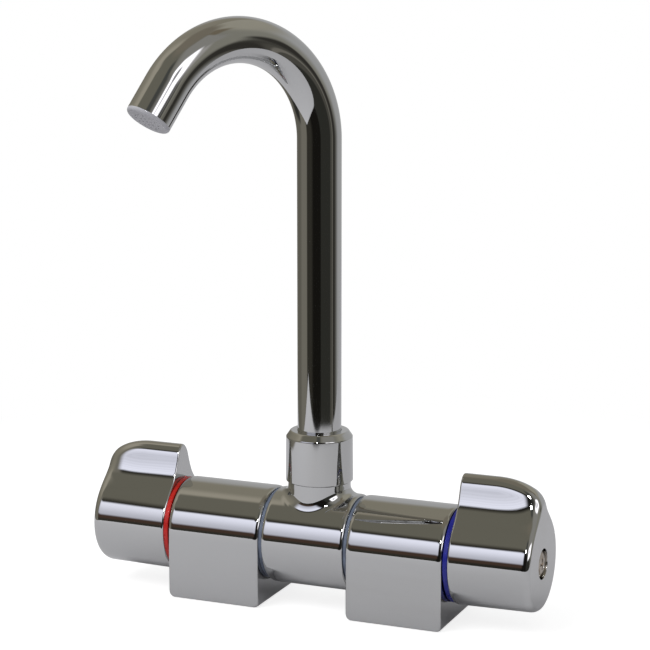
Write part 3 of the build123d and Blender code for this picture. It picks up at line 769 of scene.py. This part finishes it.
for side, grids in both_sides(screw_grid):
    way = 1 if side == "cold" else -1
    screw = new_piece(side + "_knob_screw_domed", grids)
    cut(screw, [cross_arm("arm", way, True), cross_arm("other_arm", way, False)])
    settle(screw, side + "_knob_screw", side + "_handle", "steel")

# %% [markdown]
# ## A small language for finishes
# A finish is a recipe of nodes. The class Wire wraps a node's output, and each arithmetic sign on it
# adds a Math node. Every other node comes from one method, with its type, settings and inputs.

# %% Shader helpers
class Wire:
    """A node's output that can be added, multiplied and so on, on either side of the sign."""

    def __init__(self, recipe, socket):
        self.recipe, self.socket = recipe, socket

    def __add__(self, other):
        return self.recipe.math("ADD", self, other)

    def __sub__(self, other):
        return self.recipe.math("SUBTRACT", self, other)

    def __rsub__(self, other):
        return self.recipe.math("SUBTRACT", other, self)

    def __mul__(self, other):
        return self.recipe.math("MULTIPLY", self, other)

    def __truediv__(self, other):
        return self.recipe.math("DIVIDE", self, other)

    def __pow__(self, other):
        return self.recipe.math("POWER", self, other)

    def __abs__(self):
        return self.recipe.math("ABSOLUTE", self)

    __radd__ = __add__
    __rmul__ = __mul__

    def step(self, low, high):
        """0 below low, 1 above high, and a smooth rise between them."""
        inputs = {"Value": self, "From Min": low, "From Max": high}
        return self.recipe.node("MapRange", inputs, interpolation_type="SMOOTHSTEP")


class Recipe:
    """The node tree of one material or of the world."""

    def __init__(self, owner):
        owner.use_nodes = True
        self.tree = owner.node_tree
        self.tree.nodes.clear()

    def node(self, kind, inputs=None, output=0, **settings):
        """Add a node, set its settings, then give its sockets values or links."""
        node = self.tree.nodes.new("ShaderNode" + kind)
        for key, value in settings.items():
            setattr(node, key, value)
        for key, value in (inputs or {}).items():
            if isinstance(value, Wire):
                self.tree.links.new(value.socket, node.inputs[key])
            else:
                node.inputs[key].default_value = value
        return Wire(self, node.outputs[output]) if node.outputs else None

    def math(self, operation, *values):
        """A function of one or two values."""
        return self.node("Math", dict(enumerate(values)), operation=operation)

    def axes(self, space="Object"):
        """The x, y and z of a place on the piece, or of a direction in the world."""
        spot = self.node("TexCoord", output=space)
        parts = self.node("SeparateXYZ", {0: spot}).socket.node
        return [Wire(self, part) for part in parts.outputs]

    def grain(self, scale, detail=3.0, stretch=(1.0, 1.0, 1.0)):
        """Cloudy noise from 0 to 1 over the piece, stretched per axis."""
        spot = self.node("TexCoord", output="Object")
        spot = self.node("Mapping", {"Vector": spot, "Scale": stretch})
        return self.node("TexNoise", {"Vector": spot, "Scale": scale, "Detail": detail})

    def blend(self, share, first, second):
        """A colour between two colours."""
        inputs = {0: share}
        inputs[6] = (*first, 1.0) if not isinstance(first, Wire) else first
        inputs[7] = (*second, 1.0) if not isinstance(second, Wire) else second
        return self.node("Mix", inputs, output=2, data_type="RGBA")

    def mix(self, share, first, second):
        """A shader between two shaders."""
        return self.node("MixShader", {0: share, 1: first, 2: second})

    def bump(self, height, depth, under=None):
        """A normal bent as if the surface had the height, over a depth in metres."""
        inputs = {"Height": height, "Strength": 1.0, "Distance": depth}
        if under is not None:
            inputs["Normal"] = under
        return self.node("Bump", inputs)

    def surface(self, **inputs):
        """The shader itself, with its sockets named in words."""
        names = {key.replace("_", " ").title(): value for key, value in inputs.items()}
        names = {key: (*v, 1.0) if isinstance(v, tuple) and len(v) == 3 else v for key, v in names.items()}
        shader = self.node("BsdfPrincipled", names)
        self.node("OutputMaterial", {"Surface": shader})


def finish(name):
    """A new material and the recipe that fills it."""
    material = bpy.data.materials.new(name)
    return material, Recipe(material)


def band(value, rising=None, falling=None):
    """1 between two soft edges; a missing edge leaves that side open."""
    share = value.step(*rising) if rising else None
    if falling:
        down = 1 - value.step(*falling)
        share = down if share is None else share * down
    return share


print("shader helpers ready")

# %% [markdown]
# ## Chrome
# Chrome plate is a mirror with a faint warm-cool cast. What tells it from a perfect mirror is small:
# a slight waviness from the polishing wheel, drawn out along the barrel, a few wiped smears that dull
# the shine, and fine specks. All three stay far below what would blur the picture in the mirror.

# %% Chrome
def chrome(name, stretch, wave_depth):
    material, recipe = finish(name)
    smear = recipe.grain(60.0, 4.0, stretch).step(0.45, 0.75)
    speck = recipe.grain(2600.0, 1.0).step(0.72, 0.80)
    wheel = recipe.grain(330.0, 2.0, stretch)
    peel = recipe.grain(120.0, 1.0)
    colour = recipe.blend(smear * 0.6 + speck * 0.4, (0.560, 0.565, 0.566), (0.515, 0.515, 0.505))
    rough = 0.028 + smear * 0.030 + speck * 0.05
    normal = recipe.bump(wheel, wave_depth, recipe.bump(peel, wave_depth * 2.0))
    recipe.surface(base_color=colour, metallic=1.0, roughness=rough, normal=normal)
    return material


finishes = {
    "barrel_chrome": chrome("barrel_chrome", (0.12, 1.0, 1.0), 0.0000030),
    "tube_chrome": chrome("tube_chrome", (1.0, 1.0, 0.08), 0.0000022),
}
print("chrome mixed")

# %% [markdown]
# ## Marker rings, washers and the outlet
# The marker rings are glossy moulded plastic, coloured right through, with the slightest mottle. The
# washers are a duller grey-blue. The outlet's insert is a cloudy grey, a little uneven, and its skin
# has the satin of a moulding tool.

# %% Plastics
def moulded(name, colour, darker, rough, cloud=300.0, skin=0.000004):
    material, recipe = finish(name)
    mottle = recipe.grain(cloud, 3.0)
    satin = recipe.grain(5200.0, 1.0)
    recipe.surface(
        base_color=recipe.blend(mottle.step(0.3, 0.7), darker, colour),
        roughness=rough + mottle * 0.12,
        normal=recipe.bump(satin, skin),
    )
    return material


PLASTICS = {
    # colour, darker colour, roughness, and for some the size of the clouds and the depth of the skin
    "red_ring": ((0.47, 0.007, 0.003), (0.36, 0.005, 0.002), 0.22),
    "blue_ring": ((0.005, 0.010, 0.22), (0.004, 0.007, 0.17), 0.22),
    "seam_grey": ((0.13, 0.16, 0.22), (0.10, 0.12, 0.17), 0.30),
    "insert_grey": ((0.42, 0.42, 0.45), (0.38, 0.38, 0.41), 0.34, 160.0, 0.000001),
    "bearing_white": ((0.80, 0.79, 0.75), (0.74, 0.73, 0.69), 0.40),
    "rubber": ((0.022, 0.022, 0.023), (0.012, 0.012, 0.013), 0.62, 900.0),
}
for name, looks in PLASTICS.items():
    finishes[name] = moulded(name, *looks)
print("plastics mixed")

# %% [markdown]
# ## Steel, brass and ceramic
# The knob screws are dull steel with a brownish tarnish and the fine rings of the lathe. The inner
# brass is turned bright, with rings along the barrel and stains in patches. The valve discs are a
# dense off-white ceramic, lapped smooth, with faint specks.

# %% Metals and ceramic
LATHE_LINES = 9000.0


def turned_metal(name, colour, stain, rough):
    material, recipe = finish(name)
    lines = recipe.math("SINE", recipe.axes()[0] * LATHE_LINES) * 0.5 + 0.5
    patch = recipe.grain(240.0, 4.0).step(0.42, 0.68)
    scratch = recipe.grain(1500.0, 2.0, (0.2, 1.0, 1.0))
    recipe.surface(
        base_color=recipe.blend(patch, colour, stain),
        metallic=1.0,
        roughness=rough + patch * 0.14 + scratch * 0.08,
        normal=recipe.bump(lines * 0.5 + scratch * 0.5, 0.000006),
    )
    return material


def lapped_ceramic():
    material, recipe = finish("ceramic")
    speck = recipe.grain(4200.0, 1.0).step(0.66, 0.74)
    haze = recipe.grain(420.0, 3.0)
    recipe.surface(
        base_color=recipe.blend(speck, (0.80, 0.79, 0.75), (0.60, 0.58, 0.54)),
        roughness=0.14 + haze * 0.12,
        normal=recipe.bump(haze, 0.000003),
    )
    return material


finishes["steel"] = turned_metal("steel", (0.45, 0.40, 0.34), (0.30, 0.25, 0.20), 0.20)
finishes["brass"] = turned_metal("brass", (0.72, 0.50, 0.20), (0.52, 0.35, 0.14), 0.24)
finishes["ceramic"] = lapped_ceramic()
print("metals and ceramic mixed")

# %% [markdown]
# ## Giving each piece its finish
# The words in a construction piece's name tell its slot, and the new pieces already name theirs.
# Chrome is the one slot with two mixes, because the polishing marks run along the barrel on the
# castings and along the column on the spout.

# %% Dress the pieces
SLOT_OF = {
    "valve_body": "brass", "spindle": "brass", "spout_tail": "brass", "fold_screw": "steel",
    "snap_ring": "steel", "o_ring": "rubber", "seat_seal": "rubber", "disc": "ceramic",
    "slip_ring": "bearing_white", "knob_screw": "steel", "colour_ring": "red_ring",
    "seam_washer": "seam_grey", "outlet_insert": "insert_grey", "cold_colour_ring": "blue_ring",
}


def slot_of(node):
    """The slot whose word is in the node's name, the longest word first."""
    found = [word for word in sorted(SLOT_OF, key=len, reverse=True) if word in node]
    return SLOT_OF[found[0]] if found else "chrome"


def dress(thing, slot):
    name = slot if slot != "chrome" else ("tube_chrome" if "spout_" in thing.name else "barrel_chrome")
    thing.data.materials.clear()
    thing.data.materials.append(finishes[name])
    return name


worn = {}
for thing in [o for o in bpy.data.objects if o.type == "MESH"]:
    slot = thing.get("finish") or slot_of(thing.get("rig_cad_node", ""))
    worn.setdefault(dress(thing, slot), []).append(thing.name)
for name, things in sorted(worn.items()):
    print(name, "on", len(things), "pieces")

# %% [markdown]
# ## The floor
# The tap stands on a white sheet. The camera sees it as white all the way to the edge of the frame,
# with the tap's soft shadow on it. Its real colour is a pale grey, and that is what the chrome
# mirrors near the feet. As mirrored, the sheet has straight edges in front and to the sides, with its
# right front corner rounded off, and past them the chrome mirrors the room.

# %% Floor
def sheet_grid(half_width, front, back, steps=40):
    """A flat rectangle of points just under the feet: x across, y from the front to the back."""
    x, y = np.meshgrid(np.linspace(-half_width, half_width, steps), np.linspace(-front, back, steps))
    return [(np.stack([x, y, np.full_like(x, -0.05)], -1), False, False)]


WHITE = (1.0, 1.0, 1.0, 1.0)
floor = new_piece("white_sheet", sheet_grid(600.0, 500.0, 900.0))
sheet, recipe = finish("white_sheet")
sheet_x, sheet_y, _ = recipe.axes()
seen = recipe.node("LightPath", output="Is Camera Ray")
paper_colour = recipe.blend(seen, (0.645, 0.64, 0.66), (0.36, 0.36, 0.36))
paper = recipe.node("BsdfDiffuse", {"Color": paper_colour})
glow = recipe.node("Emission", {"Color": WHITE, "Strength": seen * 0.80})
lit = recipe.node("AddShader", {0: paper, 1: glow})
clear = recipe.node("BsdfTransparent")
far = (sheet_x * sheet_x + sheet_y * sheet_y) ** 0.5
corner = far.step(0.286, 0.306) * sheet_x.step(-0.02, 0.02) * (1 - sheet_y.step(-0.02, 0.02))
mirrored = band(sheet_x, (-0.266, -0.250), (0.290, 0.312))
mirrored = mirrored * band(sheet_y - sheet_x * 0.19, (-0.298, -0.282)) * (1 - corner)
plain_white = recipe.node("Emission", {"Color": WHITE, "Strength": 1.0})
lit = recipe.mix(far.step(0.22, 0.34) * seen, lit, plain_white)
mixed = recipe.mix((1 - mirrored) * (1 - seen), lit, clear)
recipe.node("OutputMaterial", {"Surface": mixed})
floor.data.materials.append(sheet)
print("sheet laid")

# %% [markdown]
# ## The room in the mirror
# Chrome shows the room. The camera itself sees plain white, and matt surfaces are lit by an even
# soft light. What the chrome mirrors is painted by direction, layer over layer, like a backdrop.
# Elevation is the arc sine of the direction's height and azimuth its bearing from the user's side, in
# degrees. Each layer has a colour and a range of each, and every edge is a smooth rise.

# %% World
world = bpy.data.worlds.new("studio")
bpy.context.scene.world = world
recipe = Recipe(world)
x, y, z = recipe.axes("Generated")
degrees = 180.0 / np.pi
el = recipe.math("ARCSINE", z) * degrees
az = recipe.math("ARCTAN2", x, y * -1.0) * degrees
LAYERS = [
    # colour, bearings (rising edge, falling edge), heights (rising edge, falling edge)
    ((0.045, 0.042, 0.033), [(-49, -41), (-22, -6)], None),
    ((0.038, 0.038, 0.032), [(27, 33), None], None),
    ((0.170, 0.160, 0.130), [None, (-49, -41)], None),
    ((0.245, 0.230, 0.190), [(-96, -74), (-49, -41)], None),
    ((0.040, 0.040, 0.035), [(-122, -102), (-84, -72)], [None, (-24, -17)]),
    ((0.085, 0.052, 0.038), [(-49, -41), (-10, 0)], [(-1, 3), (9, 12)]),
    ((0.330, 0.305, 0.240), [None, (-62, -52)], [(-4, 30), None]),
    ((0.480, 0.440, 0.355), [(-128, -98), (-68, -58)], [(28, 44), None]),
    ((0.310, 0.300, 0.255), [(80, 85), None], [(-12, 6), None]),
    ((0.100, 0.095, 0.080), [(79, 84), None], [None, (-12, 2)]),
    ((0.045, 0.042, 0.036), [(96, 100), (107, 112)], [None, (8, 18)]),
    ((0.220, 0.205, 0.175), [(91.5, 92.5), (94.5, 96)], [None, (-2, 2)]),
    ((0.500, 0.480, 0.460), [(72, 78), (82, 87)], [(4, 14), (44, 50)]),
    ((0.500, 0.500, 0.500), [(110, 138), None], [None, (28, 44)]),
    ((0.520, 0.520, 0.520), [None, (-158, -136)], [None, (28, 44)]),
    ((0.200, 0.190, 0.150), [(-68, -58), (88, 98)], [(38, 46), None]),
    ((0.200, 0.190, 0.150), [(-92, -74), (88, 98)], [(50, 58), None]),
    ((0.340, 0.330, 0.305), [(18, 48), (88, 98)], [(26, 34), (64, 74)]),
    ((0.085, 0.087, 0.080), [(4, 14), (22, 32)], [(30, 38), (54, 64)]),
    ((0.440, 0.415, 0.340), [(98, 116), None], [(22, 46), None]),
    ((0.225, 0.190, 0.135), [(86, 92), (106, 120)], [(50, 58), (68, 76)]),
    ((0.250, 0.222, 0.172), None, [(64, 76), None]),
]
mirrored_room = recipe.blend(0.0, (0.012, 0.011, 0.009), (0.0, 0.0, 0.0))
for colour, bearings, heights in LAYERS:
    shares = [band(angle, *edges) for angle, edges in ((az, bearings), (el, heights)) if edges]
    share = shares[0] * shares[1] if len(shares) == 2 else shares[0]
    mirrored_room = recipe.blend(share, mirrored_room, colour)
print("room painted in", len(LAYERS), "layers")

# %% [markdown]
# Two windows are laid over the room. The first hangs low in front on the left: the long bright bands
# on the castings are its image, with faint slats. The second is further round on the right, with a
# grey figure before it, and shows on the hook. Between them a small strong lamp puts the bright
# points on every rounded edge.

# %% Windows
slats = recipe.math("SINE", el * 2.6) * 0.04 + 0.96
first_window = band(az, (-52, -40), (-4, 6)) * band(el, (6.5, 11.5), (34, 38))
first_light = (0.78 + el.step(8.0, 36.0) * 0.62) * slats
middle = abs((az - 57.5) / 6.0) ** 2.0 + abs((el - 28.0) / 5.0) ** 2.0
figure = 1 - (1 - middle.step(0.3, 1.6)) * 0.82
slant = el + abs(az - 57.0) * 0.25
second_window = band(az, (42, 48), (73, 80)) * band(el, (11, 17)) * band(slant, None, (38, 44))
spark = band(az, (10, 11.5), (15.5, 17)) * band(el, (36, 37.5), (41.5, 43))
WINDOWS = [
    (first_window, first_light, (0.98, 0.99, 1.13)),
    (second_window, figure * 2.4, (1.0, 0.98, 1.02)),
    (spark, 40.0, (1.0, 1.0, 1.0)),
]
for share, light, tint in WINDOWS:
    bright = recipe.node("VectorMath", {0: tint, "Scale": light}, operation="SCALE")
    mirrored_room = recipe.blend(share, mirrored_room, bright)
camera_ray, glossy_ray = (
    recipe.node("LightPath", output=ray) for ray in ("Is Camera Ray", "Is Glossy Ray")
)
even, mirror, white = (
    recipe.node("Background", {"Color": colour, "Strength": strength})
    for colour, strength in ((WHITE, 0.62), (mirrored_room, 1.0), (WHITE, 1.0))
)
all_rays = recipe.mix(camera_ray, recipe.mix(glossy_ray, even, mirror), white)
recipe.node("OutputWorld", {"Surface": all_rays})
print("windows and lamps laid over it:", len(WINDOWS))

# %% [markdown]
# ## The key light
# One large soft lamp above on the left gives the shadow its direction and the coloured rings their
# modelling. It is kept out of the mirror, because the window there stands for it.

# %% Key light
LAMP_STAND = np.array([-0.55, -0.75, 1.05])
lamp = bpy.data.lights.new("soft_key", "AREA")
lamp.shape = "RECTANGLE"
lamp.size, lamp.size_y = 0.9, 0.7
lamp.energy = 11.0
key = placed("soft_key", lamp)
key.matrix_world = looking(LAMP_STAND, -LAMP_STAND)
key.visible_glossy = False
bpy.context.scene.view_settings.view_transform = "Standard"
print("key light", lamp.energy, "W")

# %% [markdown]
# ## The end
# With the key light in place, the scene is complete.


print("scene complete")
